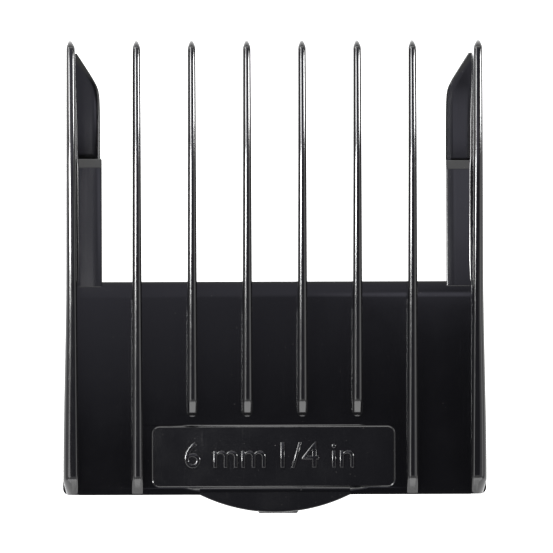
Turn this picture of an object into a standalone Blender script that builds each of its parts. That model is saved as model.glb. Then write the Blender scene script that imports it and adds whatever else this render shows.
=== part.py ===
"""Clip-on guard comb for a full-size hair clipper.

Frame: the comb lies on the rims of its skirts with its skin side up.
+Z is up, +Y runs along the teeth to their tips, +X is to the right.
Origin: centre of the bounding box's bottom face.  Units: metres.
"""

import math

import bmesh
import bpy
from mathutils import Matrix, Vector

MM = 0.001

# ---- driving dimensions -------------------------------------------------------------------
SEAM = 0.3 * MM                 # gap between neighbouring solids

# levels above the rims that the comb rests on
EAR_TOP = 1.2 * MM
SEAT = 4.0 * MM                 # underside of the plate, where the blade sits
PLATE_THICKNESS = 1.6 * MM

# along the teeth
TIP_Y = 26.75 * MM
LEDGE_END_Y = 13.4 * MM
PLATE_FRONT_Y = -0.50 * MM
REAR_Y = -24.6 * MM
LIP_Y = -26.75 * MM
EDGE_ROUND = 1.0 * MM           # rounding of the plate's front and rear edges
EDGE_STEPS = 3

# teeth
INNER_TEETH = 6
PITCH = 6.215 * MM
OUTER_TOOTH_X = 23.05 * MM
TIP_HALF_WIDTH = 0.45 * MM
FOOT_HALF_WIDTH = 0.60 * MM
CREST_ROUND = 0.3 * MM
CREST_STEPS = 2
CREST_REAR_RISE = 1.7 * MM      # crest above the plate at the rear edge
CREST_LINE_END = (8.0 * MM, 9.7 * MM)    # Y and Z where the straight crest turns into the nose
NOSE_PULL = 9.0 * MM            # how far the nose's curve follows the crest's line
NOSE_FRONT_Z = 10.35 * MM       # how high the nose's curve is pulled up at the tip
NOSE_Z = 4.8 * MM               # height of the foremost point
NOSE_STEPS = 12
SHORT_TOOTH_END_Y = -15.75 * MM
END_SLOPE_LENGTH = 1.9 * MM

# outer teeth and side walls: offsets from the outer tooth's middle plane
WALL_INSIDE = (0.63 * MM, 0.85 * MM)     # at the tips, at the rear
WALL_OUTSIDE = (0.61 * MM, 1.00 * MM)
WALL_FRONT_Y = 25.9 * MM
WALL_CORNER = 0.7 * MM
WALL_CORNER_STEPS = 4

# side ledges and corner ears
LEDGE_INNER_X = 19.45 * MM
EAR_INNER_X = 19.6 * MM
EAR_SLANT_Y = (21.4 * MM, 24.9 * MM)
EAR_CORNER = 1.6 * MM
EAR_CORNER_STEPS = 5

# rear wall and latch
REAR_WALL_THICKNESS = 1.2 * MM
LATCH_SLOT_X = 5.0 * MM
TAB_CHORD = 17.0 * MM
TAB_SAGITTA = 2.0 * MM
TAB_ROUND = 0.4 * MM
TAB_ROUND_STEPS = 2
TAB_ARC_STEPS = 16
TONGUE_HALF_WIDTH = 4.5 * MM
TONGUE_THICKNESS = 1.1 * MM
TONGUE_FRONT_Y = -24.75 * MM
TONGUE_FOOT = 0.3 * MM
HOOK_HALF_WIDTH = 4.2 * MM
HOOK_TIP_Y = -22.5 * MM
HOOK_HEIGHT = 0.85 * MM
LIP_CENTRE_X = 0.4 * MM
LIP_WIDTH = 4.5 * MM
LIP_DEPTH = 0.6 * MM
LIP_HEIGHT = 1.1 * MM

# label
LABEL_SIZE = (27.5 * MM, 6.9 * MM)
LABEL_CENTRE_Y = -20.2 * MM
LABEL_CORNER = 0.7 * MM
LABEL_CORNER_STEPS = 4
LABEL_RECESS = 0.25 * MM
LABEL_PAD = 0.45 * MM
LABEL_TEXTS = (("6 mm", -5.6 * MM), ("1/4 in", 4.5 * MM))
TEXT_SIZE = 4.1 * MM
TEXT_RISE = 0.2 * MM
TEXT_SINK = 0.1 * MM
TEXT_CURVE_STEPS = 2

CUTTER_RISE = 1.0 * MM          # how far a cutter stands out of the face it cuts
BAR_HALF_WIDTH = 1.0 * MM       # of a tooth before it gets its real sides
LEVEL_TOLERANCE = 0.001 * MM
WELD_DISTANCE = 0.0001 * MM
FLAT_ANGLE = math.radians(0.05)
SMOOTH_ANGLE = math.radians(35)

PLASTIC_COLOUR = (0.012, 0.012, 0.014)
PLASTIC_ROUGHNESS = 0.22

# ---- derived values -----------------------------------------------------------------------
PLATE_TOP = SEAT + PLATE_THICKNESS
CREST_REAR = (REAR_Y + END_SLOPE_LENGTH, PLATE_TOP + CREST_REAR_RISE)
CREST_SLOPE = (CREST_LINE_END[1] - CREST_REAR[1]) / (CREST_LINE_END[0] - CREST_REAR[0])
WALL_TOP = SEAT - SEAM
SIDE_X = OUTER_TOOTH_X - WALL_INSIDE[1] - SEAM    # sides of the plate, ledges and rear walls
TAB_RADIUS = (TAB_CHORD ** 2 / 4 + TAB_SAGITTA ** 2) / (2 * TAB_SAGITTA)

PROFILE_ROTATION = Matrix(((0, 0, 1), (1, 0, 0), (0, 1, 0))).to_euler()   # outline's x, y to Y, Z


# ---- helpers ------------------------------------------------------------------------------
def clear_scene():
    for item in list(bpy.data.objects):
        bpy.data.objects.remove(item, do_unlink=True)


def new_collection(name):
    collection = bpy.data.collections.new(name)
    bpy.context.scene.collection.children.link(collection)
    return collection


def black_plastic(name):
    material = bpy.data.materials.new(name + "_plastic")
    material.use_nodes = True
    shader = material.node_tree.nodes["Principled BSDF"]
    shader.inputs["Base Color"].default_value = (*PLASTIC_COLOUR, 1.0)
    shader.inputs["Roughness"].default_value = PLASTIC_ROUGHNESS
    shader.inputs["Metallic"].default_value = 0.0
    return material


def outline_solid(name, points, low, high, collection, profile=False):
    """Solid of a flat outline between two levels along its normal.

    The outline lies in XY and rises along Z; with profile it lies in YZ and runs along X.
    """
    curve = bpy.data.curves.new(name, "CURVE")
    curve.dimensions = "2D"
    curve.fill_mode = "BOTH"
    curve.extrude = (high - low) / 2
    spline = curve.splines.new("POLY")
    spline.points.add(len(points) - 1)
    for point, (x, y) in zip(spline.points, points):
        point.co = (x, y, 0.0, 1.0)
    spline.use_cyclic_u = True
    guide = bpy.data.objects.new(name + "_outline", curve)
    collection.objects.link(guide)
    middle = (low + high) / 2
    if profile:
        guide.rotation_euler = PROFILE_ROTATION
        guide.location = (middle, 0.0, 0.0)
    else:
        guide.location = (0.0, 0.0, middle)
    return curve_to_mesh(name, guide, collection)


def curve_to_mesh(name, guide, collection, merge_flat=True):
    bpy.context.view_layer.update()
    evaluated = guide.evaluated_get(bpy.context.evaluated_depsgraph_get())
    mesh = bpy.data.meshes.new_from_object(evaluated)
    weld(mesh, merge_flat)
    solid = bpy.data.objects.new(name, mesh)
    solid.matrix_world = guide.matrix_world.copy()
    collection.objects.link(solid)
    bpy.data.objects.remove(guide, do_unlink=True)
    return solid


def weld(mesh, merge_flat):
    """Close the solid of a filled curve, with each of its flat faces one polygon if asked."""
    shape = bmesh.new()
    shape.from_mesh(mesh)
    bmesh.ops.remove_doubles(shape, verts=shape.verts, dist=WELD_DISTANCE)
    if merge_flat:
        bmesh.ops.dissolve_limit(shape, angle_limit=FLAT_ANGLE, verts=shape.verts, edges=shape.edges)
    bmesh.ops.recalc_face_normals(shape, faces=shape.faces)
    shape.to_mesh(mesh)
    shape.free()


def box_solid(name, low, high, collection):
    """Box from one corner to the other, with its origin at its middle."""
    size = Vector(high) - Vector(low)
    shape = bmesh.new()
    bmesh.ops.create_cube(shape, size=1.0)
    bmesh.ops.scale(shape, vec=size, verts=shape.verts)
    mesh = bpy.data.meshes.new(name)
    shape.to_mesh(mesh)
    shape.free()
    solid = bpy.data.objects.new(name, mesh)
    solid.location = (Vector(high) + Vector(low)) / 2
    collection.objects.link(solid)
    return solid


def round_edges(solid, width, segments, wanted):
    """Round the edges whose two ends both satisfy wanted(world point)."""
    bpy.context.view_layer.update()
    mesh = solid.data
    weights = mesh.attributes.new("bevel_weight_edge", "FLOAT", "EDGE")
    for edge in mesh.edges:
        ends = [solid.matrix_world @ mesh.vertices[i].co for i in edge.vertices]
        weights.data[edge.index].value = 1.0 if wanted(*ends) else 0.0
    bevel = solid.modifiers.new("rounding", "BEVEL")
    bevel.limit_method = "WEIGHT"
    bevel.offset_type = "OFFSET"
    bevel.width = width
    bevel.segments = segments
    bevel.use_clamp_overlap = True


def cut(solid, cutter):
    boolean = solid.modifiers.new("cut_" + cutter.name, "BOOLEAN")
    boolean.operation = "DIFFERENCE"
    boolean.object = cutter
    cutter.hide_render = True
    cutter.display_type = "WIRE"


def finish_part(solid, parent=None):
    solid.data.materials.clear()
    solid.data.materials.append(black_plastic(solid.name))
    solid.data.shade_smooth()
    solid.data.set_sharp_from_angle(angle=SMOOTH_ANGLE)
    if parent is not None:
        bpy.context.view_layer.update()
        solid.parent = parent
        solid.matrix_parent_inverse = parent.matrix_world.inverted()


def between(ends, rear_share):
    """Value that goes from ends[0] at the tips to ends[1] at the rear edge."""
    return ends[0] + (ends[1] - ends[0]) * rear_share


def rear_share(y):
    return (TIP_Y - y) / (TIP_Y - REAR_Y)


def wall_x(y, offsets, outward):
    """Distance of a side wall's face from the middle of the comb."""
    offset = between(offsets, rear_share(y))
    return OUTER_TOOTH_X + (offset if outward else -offset)


def arc_points(centre, radius, start, end, steps):
    angles = (math.radians(start + (end - start) * i / steps) for i in range(steps + 1))
    return [(centre[0] + radius * math.cos(a), centre[1] + radius * math.sin(a)) for a in angles]


def rounded_rectangle(centre, size, corner, steps):
    half_x = size[0] / 2 - corner
    half_y = size[1] / 2 - corner
    points = []
    for quarter, (sx, sy) in enumerate(((1, 1), (-1, 1), (-1, -1), (1, -1))):
        middle = (centre[0] + sx * half_x, centre[1] + sy * half_y)
        points += arc_points(middle, corner, 90 * quarter, 90 * quarter + 90, steps)
    return points


def mirrored(points, side):
    return [(side * x, y) for x, y in points]


# ---- teeth --------------------------------------------------------------------------------
def bezier_point(controls, t):
    weights = ((1 - t) ** 3, 3 * (1 - t) ** 2 * t, 3 * (1 - t) * t ** 2, t ** 3)
    return tuple(sum(w * c[axis] for w, c in zip(weights, controls)) for axis in (0, 1))


def nose_points():
    """Curve from the end of the straight crest down to the foremost point."""
    start_y, start_z = CREST_LINE_END
    controls = (
        CREST_LINE_END,
        (start_y + NOSE_PULL, start_z + CREST_SLOPE * NOSE_PULL),
        (TIP_Y, NOSE_FRONT_Z),
        (TIP_Y, NOSE_Z),
    )
    return [bezier_point(controls, step / NOSE_STEPS) for step in range(NOSE_STEPS + 1)]


def tooth_outline(end_y, on_plate):
    """Side outline in Y and Z: end slope, straight crest, curved nose, straight foot."""
    crest_start = end_y + END_SLOPE_LENGTH
    crest_start_z = CREST_REAR[1] + CREST_SLOPE * (crest_start - CREST_REAR[0])
    points = [(end_y, PLATE_TOP + SEAM if on_plate else SEAT)]
    if not on_plate:
        points.append((end_y, PLATE_TOP))
    points.append((crest_start, crest_start_z))
    points += nose_points()
    points.append((TIP_Y - (NOSE_Z - SEAT) / 2, SEAT))
    if on_plate:
        points.append((PLATE_FRONT_Y + SEAM, SEAT))
        points.append((PLATE_FRONT_Y + SEAM, PLATE_TOP + SEAM))
    return points


def spread_sides(solid, left_half, right_half):
    """Give a straight bar its real sides, which part towards the rear."""
    for vertex in solid.data.vertices:
        half = left_half if vertex.co.z < 0 else right_half
        vertex.co.z = math.copysign(between(half, rear_share(vertex.co.x)), vertex.co.z)


def make_tooth(number, middle_x, end_y, halves, on_plate, collection):
    points = tooth_outline(end_y, on_plate)
    solid = outline_solid(f"tooth_{number}", points, -BAR_HALF_WIDTH, BAR_HALF_WIDTH, collection, profile=True)
    spread_sides(solid, *halves)
    solid.location.x = middle_x
    foot = PLATE_TOP + SEAM / 2

    def on_crest(a, b):
        same_side = (a.x - middle_x) * (b.x - middle_x) > 0
        return same_side and max(a.z, b.z) > foot + SEAM and min(a.z, b.z) > SEAT + SEAM

    round_edges(solid, CREST_ROUND, CREST_STEPS, on_crest)
    finish_part(solid)


def make_teeth(collection):
    inner_half = (TIP_HALF_WIDTH, FOOT_HALF_WIDTH)
    first = -PITCH * (INNER_TEETH - 1) / 2
    for index in range(INNER_TEETH):
        long = index in (0, INNER_TEETH - 1)
        end_y = REAR_Y if long else SHORT_TOOTH_END_Y
        halves = (inner_half, inner_half)
        make_tooth(index + 2, first + PITCH * index, end_y, halves, True, collection)
    make_tooth(1, -OUTER_TOOTH_X, REAR_Y, (WALL_OUTSIDE, WALL_INSIDE), False, collection)
    make_tooth(INNER_TEETH + 2, OUTER_TOOTH_X, REAR_Y, (WALL_INSIDE, WALL_OUTSIDE), False, collection)


# ---- plate, ledges, walls and ears --------------------------------------------------------
def make_plate(collection, cutters):
    notch_x = TAB_CHORD / 2 + SEAM
    notch_y = REAR_Y + SEAM
    points = [
        (-SIDE_X, PLATE_FRONT_Y), (-SIDE_X, REAR_Y), (-notch_x, REAR_Y), (-notch_x, notch_y),
        (notch_x, notch_y), (notch_x, REAR_Y), (SIDE_X, REAR_Y), (SIDE_X, PLATE_FRONT_Y),
    ]
    plate = outline_solid("comb_plate", points, SEAT, PLATE_TOP, collection)
    top = PLATE_TOP - SEAM

    def front_or_rear_edge(a, b):
        high = min(a.z, b.z) > top
        return high and a.y == b.y and (a.y > notch_y or b.y < notch_y - SEAM / 2)

    round_edges(plate, EDGE_ROUND, EDGE_STEPS, front_or_rear_edge)
    recess = rounded_rectangle((0.0, LABEL_CENTRE_Y), LABEL_SIZE, LABEL_CORNER, LABEL_CORNER_STEPS)
    floor = PLATE_TOP - LABEL_RECESS - LABEL_PAD - SEAM
    cut(plate, outline_solid("label_recess_cutter", recess, floor, PLATE_TOP + CUTTER_RISE, cutters))
    finish_part(plate)


def make_ledge(side_name, side, collection):
    low = (min(side * LEDGE_INNER_X, side * SIDE_X), PLATE_FRONT_Y + SEAM, SEAT)
    high = (max(side * LEDGE_INNER_X, side * SIDE_X), LEDGE_END_Y, PLATE_TOP)
    ledge = box_solid("side_ledge_" + side_name, low, high, collection)

    def front_edge(a, b):
        return min(a.z, b.z) > PLATE_TOP - SEAM and min(a.y, b.y) > LEDGE_END_Y - SEAM

    round_edges(ledge, EDGE_ROUND, EDGE_STEPS, front_edge)
    finish_part(ledge)


def make_side_wall(side_name, side, collection):
    corner_x = wall_x(REAR_Y, WALL_OUTSIDE, True) - WALL_CORNER
    corner = arc_points((corner_x, REAR_Y + WALL_CORNER), WALL_CORNER, -90, 0, WALL_CORNER_STEPS)
    points = [
        (wall_x(WALL_FRONT_Y, WALL_INSIDE, False), WALL_FRONT_Y),
        (wall_x(REAR_Y, WALL_INSIDE, False), REAR_Y),
        *corner,
        (wall_x(WALL_FRONT_Y, WALL_OUTSIDE, True), WALL_FRONT_Y),
    ]
    name = "side_wall_" + side_name
    finish_part(outline_solid(name, mirrored(points, side), 0.0, WALL_TOP, collection))


def make_ear(side_name, side, collection):
    start, end = EAR_SLANT_Y
    slant = math.degrees(math.atan2(SIDE_X - EAR_INNER_X, end - start))
    middle = (EAR_INNER_X + EAR_CORNER, start - EAR_CORNER * math.tan(math.radians(slant / 2)))
    points = [
        (SIDE_X, LEDGE_END_Y),
        (SIDE_X, end),
        *arc_points(middle, EAR_CORNER, 180 - slant, 180, EAR_CORNER_STEPS),
        (EAR_INNER_X, LEDGE_END_Y),
    ]
    name = "corner_ear_" + side_name
    finish_part(outline_solid(name, mirrored(points, side), 0.0, EAR_TOP, collection))


def make_rear_wall(side_name, side, collection):
    low = (min(side * LATCH_SLOT_X, side * SIDE_X), REAR_Y, 0.0)
    high = (max(side * LATCH_SLOT_X, side * SIDE_X), REAR_Y + REAR_WALL_THICKNESS, WALL_TOP)
    finish_part(box_solid("rear_wall_" + side_name, low, high, collection))


# ---- label --------------------------------------------------------------------------------
def make_label(collection, cutters):
    size = [length - 2 * SEAM for length in LABEL_SIZE]
    outline = rounded_rectangle((0.0, LABEL_CENTRE_Y), size, LABEL_CORNER - SEAM, LABEL_CORNER_STEPS)
    top = PLATE_TOP - LABEL_RECESS
    label = outline_solid("size_label", outline, top - LABEL_PAD, top, collection)
    for index, (text, x) in enumerate(LABEL_TEXTS):
        letters = make_letters(f"size_letters_{index}", text, x, top, cutters)
        union = label.modifiers.new(letters.name, "BOOLEAN")
        union.operation = "UNION"
        union.solver = "MANIFOLD"    # keeps the many small letter faces closed
        union.object = letters
    finish_part(label)


def make_letters(name, text, x, floor, cutters):
    """Raised letters, centred at x, standing on the floor of the recess."""
    curve = bpy.data.curves.new(name, "FONT")
    curve.body = text
    curve.size = TEXT_SIZE
    curve.align_x = "CENTER"
    curve.align_y = "CENTER"
    curve.resolution_u = TEXT_CURVE_STEPS
    curve.extrude = (TEXT_RISE + TEXT_SINK) / 2
    guide = bpy.data.objects.new(name + "_outline", curve)
    guide.location = (x, LABEL_CENTRE_Y, floor + (TEXT_RISE - TEXT_SINK) / 2)
    cutters.objects.link(guide)
    letters = curve_to_mesh(name, guide, cutters, merge_flat=False)
    letters.hide_render = True
    letters.display_type = "WIRE"
    return letters


# ---- latch --------------------------------------------------------------------------------
def make_latch(collection):
    """Tab, tongue, hook and lip, hung on an empty that lies on the living hinge's line."""
    hinge = bpy.data.objects.new("latch_hinge", None)
    hinge.location = (0.0, REAR_Y + SEAM / 2, PLATE_TOP)
    collection.objects.link(hinge)

    half_angle = math.degrees(math.asin(TAB_CHORD / 2 / TAB_RADIUS))
    centre = (0.0, REAR_Y - TAB_SAGITTA + TAB_RADIUS)
    arc = arc_points(centre, TAB_RADIUS, -90 - half_angle, -90 + half_angle, TAB_ARC_STEPS)
    tab = outline_solid("latch_tab", arc, SEAT, PLATE_TOP, collection)

    def arc_edge(a, b):
        behind = min(a.y, b.y) < REAR_Y - LEVEL_TOLERANCE
        return behind and abs(a.z - b.z) < SEAM

    round_edges(tab, TAB_ROUND, TAB_ROUND_STEPS, arc_edge)

    tongue_back = TONGUE_FRONT_Y - TONGUE_THICKNESS
    tongue = box_solid(
        "latch_tongue",
        (-TONGUE_HALF_WIDTH, tongue_back, TONGUE_FOOT),
        (TONGUE_HALF_WIDTH, TONGUE_FRONT_Y, WALL_TOP),
        collection,
    )
    hook_back = TONGUE_FRONT_Y + SEAM
    hook_top = TONGUE_FOOT + HOOK_HEIGHT
    hook_profile = [
        (hook_back, TONGUE_FOOT),
        (HOOK_TIP_Y, hook_top - SEAM),
        (HOOK_TIP_Y, hook_top),
        (hook_back, hook_top),
    ]
    hook = outline_solid(
        "latch_hook", hook_profile, -HOOK_HALF_WIDTH, HOOK_HALF_WIDTH, collection, profile=True
    )
    lip = box_solid(
        "thumb_lip",
        (LIP_CENTRE_X - LIP_WIDTH / 2, LIP_Y, WALL_TOP - LIP_HEIGHT),
        (LIP_CENTRE_X + LIP_WIDTH / 2, LIP_Y + LIP_DEPTH, WALL_TOP),
        collection,
    )
    for piece in (tab, tongue, hook, lip):
        finish_part(piece, hinge)


def main():
    clear_scene()
    parts = new_collection("clipper_guard_comb")
    cutters = new_collection("cutters")
    make_plate(parts, cutters)
    make_label(parts, cutters)
    make_teeth(parts)
    for side_name, side in (("left", -1), ("right", 1)):
        make_ledge(side_name, side, parts)
        make_side_wall(side_name, side, parts)
        make_ear(side_name, side, parts)
        make_rear_wall(side_name, side, parts)
    make_latch(parts)


main()
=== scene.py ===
"""Visual model of the clip-on clipper guard comb: one moulding in gloss black plastic.

The comb lies skin side up on a pale floor, its teeth along +Y, seen from straight above.
Every piece stands for one CAD node and takes its place and size from it.  Units: metres.
"""

import math

import bmesh
import bpy
from mathutils import Matrix, Vector


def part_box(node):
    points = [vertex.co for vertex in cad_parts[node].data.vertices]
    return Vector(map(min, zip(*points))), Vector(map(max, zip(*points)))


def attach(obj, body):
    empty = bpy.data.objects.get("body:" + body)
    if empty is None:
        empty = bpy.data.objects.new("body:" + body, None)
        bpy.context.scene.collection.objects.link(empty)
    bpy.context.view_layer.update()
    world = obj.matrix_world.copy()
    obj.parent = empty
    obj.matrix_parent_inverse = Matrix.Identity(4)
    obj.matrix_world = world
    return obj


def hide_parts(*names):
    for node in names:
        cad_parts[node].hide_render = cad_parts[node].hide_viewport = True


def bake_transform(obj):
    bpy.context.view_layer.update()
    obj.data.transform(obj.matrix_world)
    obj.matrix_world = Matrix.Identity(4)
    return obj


MM = 0.001

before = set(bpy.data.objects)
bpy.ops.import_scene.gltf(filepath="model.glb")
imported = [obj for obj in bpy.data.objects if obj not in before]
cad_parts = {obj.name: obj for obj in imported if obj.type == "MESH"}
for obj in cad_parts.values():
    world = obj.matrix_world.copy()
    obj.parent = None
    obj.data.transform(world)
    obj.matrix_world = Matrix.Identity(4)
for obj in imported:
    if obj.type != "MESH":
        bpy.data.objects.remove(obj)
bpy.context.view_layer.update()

# ---- sizes read from the frame ------------------------------------------------------------
PLATE_LOW, PLATE_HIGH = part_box("comb_plate")
TOOTH_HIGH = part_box("tooth_4")[1]
WALL_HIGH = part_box("side_wall_right")[1]
EAR_LOW, EAR_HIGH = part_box("corner_ear_right")
LEDGE_LOW, LEDGE_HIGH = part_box("side_ledge_right")
REAR_WALL_LOW, REAR_WALL_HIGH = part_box("rear_wall_right")
LABEL_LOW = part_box("size_label")[0]
TAB_LOW, TAB_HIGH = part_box("latch_tab")
TONGUE_LOW, TONGUE_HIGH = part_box("latch_tongue")
HOOK_LOW, HOOK_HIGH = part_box("latch_hook")
LIP_LOW, LIP_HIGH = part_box("thumb_lip")

SEAT = PLATE_LOW.z
PLATE_TOP = PLATE_HIGH.z
REAR_Y = PLATE_LOW.y
PLATE_FRONT_Y = PLATE_HIGH.y
TIP_Y = TOOTH_HIGH.y

# ---- driving dimensions of the looks ------------------------------------------------------
FINE_EDGE = 0.12 * MM           # rounding of an edge that the mould leaves crisp
SOFT_EDGE = 0.22 * MM
EMBED = 0.3 * MM                # how far a piece runs into its neighbour in the one moulding
REAR_INSET = 0.03 * MM          # keeps hidden rear ends out of the rear face's plane
HAIR = 0.01 * MM                # keeps neighbouring points apart
EDGE_MIDDLE = 0.3               # where a two-step edge has its middle point, as a share of it
ARC_STEPS = 6
SHOULDER_STEPS = 12
SMOOTH_ANGLE = 38               # degrees: edges sharper than this keep a crisp shading
WIDE_SMOOTH_ANGLE = 50          # ... and the same on the tab and the label
RIM_ANGLE = 50                  # degrees: rims sharper than this are rounded
FLAT_WEIGHT = 80                # how strongly large faces set the shading beside narrow ones
PLATE_RIM = 0.06 * MM

# teeth
CREST_REAR = (-22.7 * MM, 7.3 * MM)      # Y and Z of the crest line's rear end
CREST_FRONT = (11.0 * MM, 9.8 * MM)      # Y and Z where its straight part ends
CREST_CONTROLS = ((14.5 * MM, 10.06 * MM), (20.0 * MM, 10.06 * MM))    # its front part bends to these
CREST_END_Z = 9.8 * MM
CREST_STEPS = 14
NOSE_RUN = 1.1 * MM                      # length of the blunt nose in front of the crest
NOSE_Z = 7.2 * MM
NOSE_STEPS = 12
NOSE_SWEEP = 86                          # degrees of the nose's quarter ellipse that are drawn
NOSE_POINT = 0.25                        # share of its width that a tooth keeps at the very tip
CREST_STATIONS = 14
CREST_LEAD = 2 * MM                      # straight run behind the rounding of the rear end's top
FRONT_EDGE_STATIONS = (0.05, 0.4, 0.8, 1.2, 1.6)    # mm behind the plate's front edge
END_ROUND = 0.9 * MM                     # rounding between an end slope and the crest
END_STEPS = 5
SHORT_END_RUN = 1.8 * MM                 # run of a short tooth's end slope
SHORT_END = (                            # its foot: Y from the end, Z from the plate, rounding
    (-0.25 * MM, -HAIR, 0.0),
    (0.10 * MM, 0.0, 0.25 * MM),
    (0.45 * MM, 1.2 * MM, 0.3 * MM),
)
LONG_END = ((-0.3 * MM, 0.0), (-0.15 * MM, 0.1 * MM))    # long teeth: Z from the plate, rounding
INNER_HALF = (0.48 * MM, 0.64 * MM)      # half width at the seat's level: at the tips, at the rear
FLANK_DRAFT = 0.008
SHOULDER = (0.52 * MM, 0.50 * MM)        # crest rounding: across the tooth, down its side
SHOULDER_FILL = (0.95, 0.55)             # most of the half width and of the height that it takes
FOOT_FILLET = 0.006 * MM
FILLET_FADE = (0.1 * MM, 1.5 * MM)       # its fading run: in front of the plate's edge, behind it
FILLET_FILL = 0.45                       # most of a tooth's height that its fillet takes
LEAST_FILLET = 0.004 * MM
LEAST_RISE = 0.02 * MM
FOOT_DROP = 0.3                          # least share of a tooth's height from crest to fillet
ROOT_DEPTH = 1.0 * MM                    # how far a tooth reaches into the plate
LEDGE_FILLET = 0.35 * MM                 # the same where an outer tooth meets its ledge
EAR_FILLET = 0.22 * MM
EAR_FILLET_FADE_Y = (17.0 * MM, 24.0 * MM)
FILLET_CHANGE = 1.0 * MM                 # run over which one of these fillets becomes the next
NOSE_ROUND = 0.85 * MM                   # rounding of a tooth's nose seen from above
NOSE_FULLNESS = 0.8                      # 1 is a wedge, less is rounder
TAIL_ROUND = 0.50 * MM                   # rounding of a short tooth's rear end seen from above
TAIL_POINT = 0.12                        # share of its width that is left at that end
CHIN = 0.4 * MM
INNER_TEETH = range(2, 8)
OUTER_TEETH = ((1, -1), (8, 1))          # number and side
LONG_TOOTH_REACH = 1.0 * MM              # teeth that end this close to the rear edge are long
OUTER_TOOTH_X = 23.05 * MM
WALL_INSIDE = (0.63 * MM, 0.88 * MM)     # outer teeth: side faces from their middle plane
WALL_OUTSIDE = (0.455 * MM, 0.625 * MM)  # ... and the same for the outer side, without its flare
WALL_FLARE = 0.300 * MM                  # how much further out the outer side stands at the rear
FLARE_SHARES = (0.50, 0.95)              # where along the comb it flares, from the tips
OUTER_INNER_SHOULDER = 0.36 * MM
OUTER_SHOULDER = (0.34 * MM, 0.95 * MM)  # rounding of the outer face: at the tips, at the rear
OUTER_FILL = (0.45, 0.55)                # most of the tooth's height that it takes, across and down
OUTER_INNER_FILL = (0.4, 0.5)            # inner shoulder: share of the height, least visible share
OUTER_FOOT = 0.4                         # where the outer face's plain part starts, as a share
OUTER_FOOT_FILLET = 0.005 * MM
OUTER_ROLL_END = 1.5 * MM                # how close to the plate's front edge they follow its roll
WALL_CORNER = 0.7 * MM
WALL_CORNER_ANGLES = range(0, 91, 10)    # degrees
WALL_STEPS = 12
WALL_LEVELS = (0.35, 0.65, 1.0)          # rows of points up a side wall, as shares of its height
WALL_NOSE = 0.6 * MM                     # rounding of its front end seen from above
WALL_NOSE_ANGLES = range(15, 91, 15)
WALL_NOSE_POINT = 0.1                    # share of its width that is left at the very front
REAR_WALL_TAPER = (0.15 * MM, 0.1 * MM)  # thicker at the top by this, thinner at the rim by this

# plate and label
FRONT_ROLL = (1.00 * MM, 0.26 * MM)      # the front edge's roll: half its run, and its drop
FRONT_ROLL_RADIUS = 6.5 * MM
REAR_ROLL = (0.35 * MM, 0.05 * MM)       # the rear edge's slight fall: half its run, and its drop
REAR_ROLL_RADIUS = 4.5 * MM
ROLL_STEPS = 8
FLAT_FRONT = 3 * MM                      # the plate is quite flat from here, behind its front edge
REAR_FALLS = ((0.0, 0.02), (1.0 * MM, 0.6), (2.0 * MM, 1.0))    # beside the tab: X, share of fall
LABEL_SIZE = (27.4 * MM, 6.82 * MM)
LABEL_CENTRE = (-0.15 * MM, -20.27 * MM)
LABEL_CORNER = 0.8 * MM
LABEL_RECESS = 0.25 * MM
LABEL_WALL = 0.22 * MM                   # run of the recess's slanting wall
LABEL_CUT = 0.6 * MM                     # how far the recess's cutter reaches below its floor
LABEL_TEXTS = (("6 mm", -5.6 * MM), ("1/4 in", 4.5 * MM))
TEXT_SIZE = 4.1 * MM
TEXT_RISE = 0.2 * MM
TEXT_EDGE = 0.12 * MM
TEXT_EDGE_STEPS = 2
TEXT_THINNING = 0.6                      # narrows the strokes by this share of their edge
TEXT_CURVE_STEPS = 6
WELD = 0.001 * MM

# ledges and ears
LEDGE_CHAMFER = (1.0 * MM, 0.42 * MM)
LEDGE_TRIM = {"left": 0.0, "right": 0.25 * MM}     # how far each front end stays back
EAR_CREST = 0.66                # where an ear's top is highest, as a share of its length
EAR_REAR_FALL = {"left": 1.0 * MM, "right": 0.5 * MM}    # how fast its top falls from there
EAR_FRONT_FALL = 2.6 * MM
EAR_EDGE = 0.15 * MM
EAR_EDGE_FILL = 0.6                      # most of an ear's height that this edge takes
EAR_EDGE_DROP = 0.12 * MM                # how far its inner edge lies below its top
EAR_EDGE_RUN = 0.7 * MM
EAR_EDGE_RADIUS = 3.0 * MM
EAR_LEAST_WIDTH = (0.15 * MM, 0.02 * MM)    # at its foot, and of its flat top
EAR_START = 0.6 * MM                     # how far it runs back under its ledge
EAR_END_Y = 25.4 * MM
EAR_STEPS = 24
EAR_SLANT_Y = 21.4 * MM                  # where its inner edge starts to slant
EAR_SLANT_SOFT = 0.55 * MM
EAR_SLANT_SHIFT = 0.08 * MM
CROWN = (1.1 * MM, 0.10 * MM)            # width and fall of the soft band along inner edges
CROWN_STEPS = 6
TOP_FROM = 0.5 * MM                      # points this far above the seat belong to the top

# latch
HINGE_Y = -24.45 * MM
HINGE_OVERLAP = 0.1 * MM                 # the tab and the plate meet this far in front of the hinge
HINGE_GROOVE = (0.5 * MM, 0.8 * MM)      # width and depth of the thinned line under the tab
GROOVE_STEPS = 6
GROOVE_FILL = 0.5                        # most of the tab's length that the groove takes
GROOVE_SHIFT = 0.02 * MM
TAB_EDGE = 0.15 * MM
TAB_EDGE_FILL = 0.4                      # most of the tab's length that its edge takes
TAB_ROWS = (0.0, 0.06, 0.14, 0.24, 0.4, 0.7)    # rows of points on its top, as shares
TAB_ANGLES = range(-90, 91, 6)           # degrees round its arc
TONGUE_EMBED = 0.05 * MM
HOOK_NOSE = 0.35 * MM                    # height of the hook's blunt front
HOOK_ROOT_RISE = 0.15 * MM
LIP_ROUND = 0.3 * MM
LIP_EMBED = 0.1 * MM
LIP_ROOT_DROP = 0.25 * MM

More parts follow.
